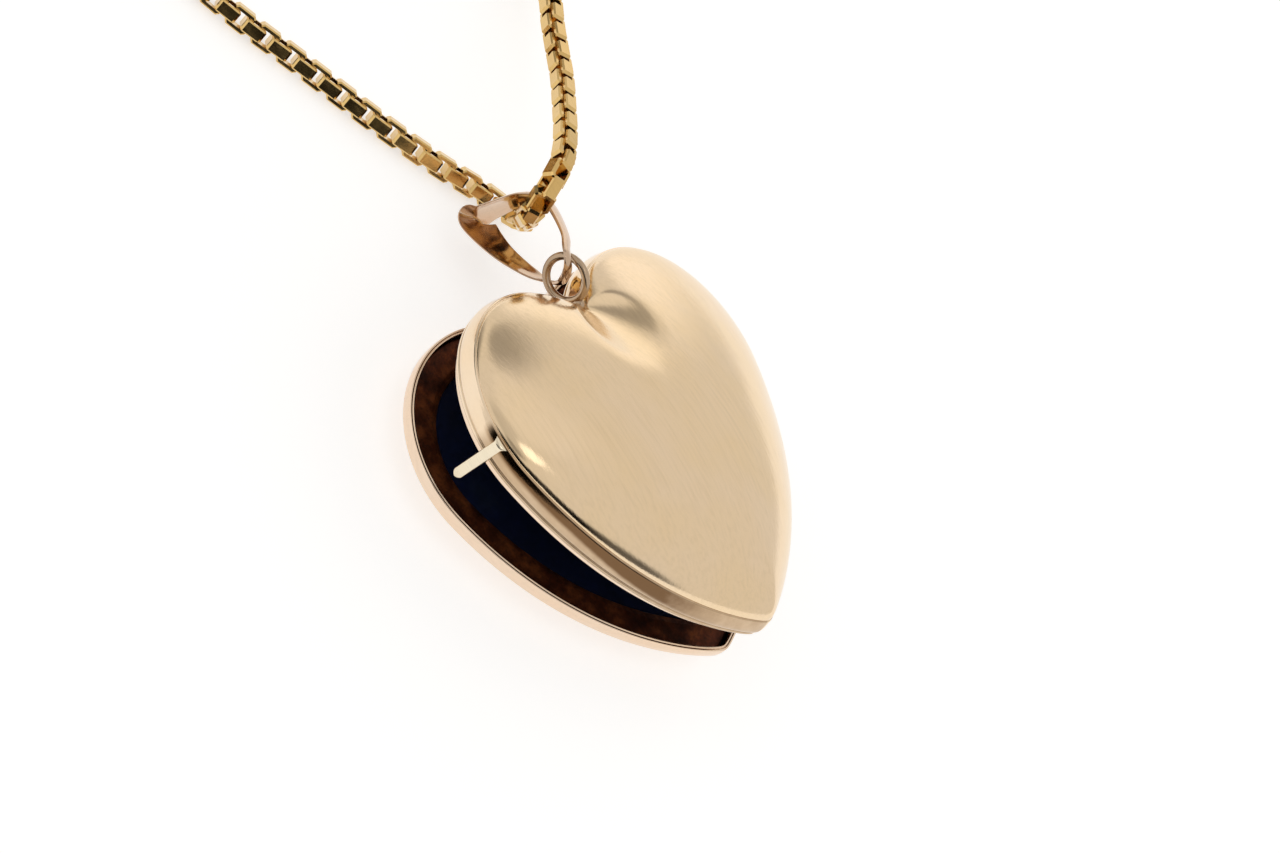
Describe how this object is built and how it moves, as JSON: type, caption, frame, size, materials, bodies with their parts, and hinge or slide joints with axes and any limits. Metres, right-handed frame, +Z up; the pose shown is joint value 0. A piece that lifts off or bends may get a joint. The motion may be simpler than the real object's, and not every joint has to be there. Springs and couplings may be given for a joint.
{
  "type": "pendant necklace",
  "caption": "Heart locket lying back side up with its covers a little open on a side hinge, with jump ring, strap bail, thumb tab, coiled box chain and spring ring clasp.",
  "frame": {"origin": "middle of the bottom of the box round the locket and bail, on the surface they lie on", "axes": "+Y from the heart's tip towards its ring and bail, +X towards the hinge side, +Z up from the surface"},
  "size_m": [0.0362, 0.0769, 0.0111],
  "materials": {
    "champagne_cover": "satin rose-gold plate, brushed dome and polished band",
    "rose_cover": "polished rose-gold plate",
    "rose_wire": "polished rose-gold plate",
    "gold_trim": "polished gold plate",
    "gold_chain": "polished yellow-gold plate",
    "copper_frame": "dark antique copper",
    "window": "clear polished acrylic",
    "dark_insert": "dark blue-black card",
    "spring": "drawn wire"
  },
  "bodies": {
    "back_cover": {"back_dome": "champagne_cover", "back_band": "champagne_cover", "back_lip": "gold_trim", "back_frame": "copper_frame", "back_window": "window", "back_insert": "dark_insert", "back_knuckle_upper": "rose_cover", "back_knuckle_lower": "rose_cover", "hinge_pin": "gold_trim", "thumb_tab": "gold_trim", "jump_ring": "rose_wire", "ring_foot": "rose_wire", "chain_left_strand": "gold_chain", "chain_right_strand": "gold_chain", "chain_coil": "gold_chain", "chain_tail": "gold_chain", "chain_end_ring_left": "gold_chain", "chain_end_ring_right": "gold_chain", "clasp_body": "gold_chain", "clasp_spring": "spring", "clasp_eye": "gold_chain"},
    "front_cover": {"front_dome": "rose_cover", "front_band": "rose_cover", "front_frame": "copper_frame", "front_window": "window", "front_insert": "dark_insert", "front_knuckle": "rose_cover", "catch_bead": "gold_trim"},
    "bail": {"bail": "rose_wire"},
    "clasp_trigger": {"clasp_tongue": "gold_chain"}
  },
  "joints": [
    {"name": "cover_hinge", "type": "hinge", "parent": "back_cover", "child": "front_cover", "pos_m": [0.01426, 0.00143, 0.00305], "axis": [0, -1, 0], "range_deg": [-9.5, 172]},
    {"name": "bail_swing", "type": "hinge", "parent": "back_cover", "child": "bail", "pos_m": [0.00018, 0.00874, 0.00747], "axis": [0.9863, 0, -0.165], "range_deg": [0, 12]},
    {"name": "clasp_trigger_turn", "type": "hinge", "parent": "back_cover", "child": "clasp_trigger", "pos_m": [0.01854, 0.04753, 0.00066], "axis": [0, 0, 1], "range_deg": [0, 50], "stiffness_Nm_per_rad": 0.0001, "springref_deg": -11.46}
  ]
}
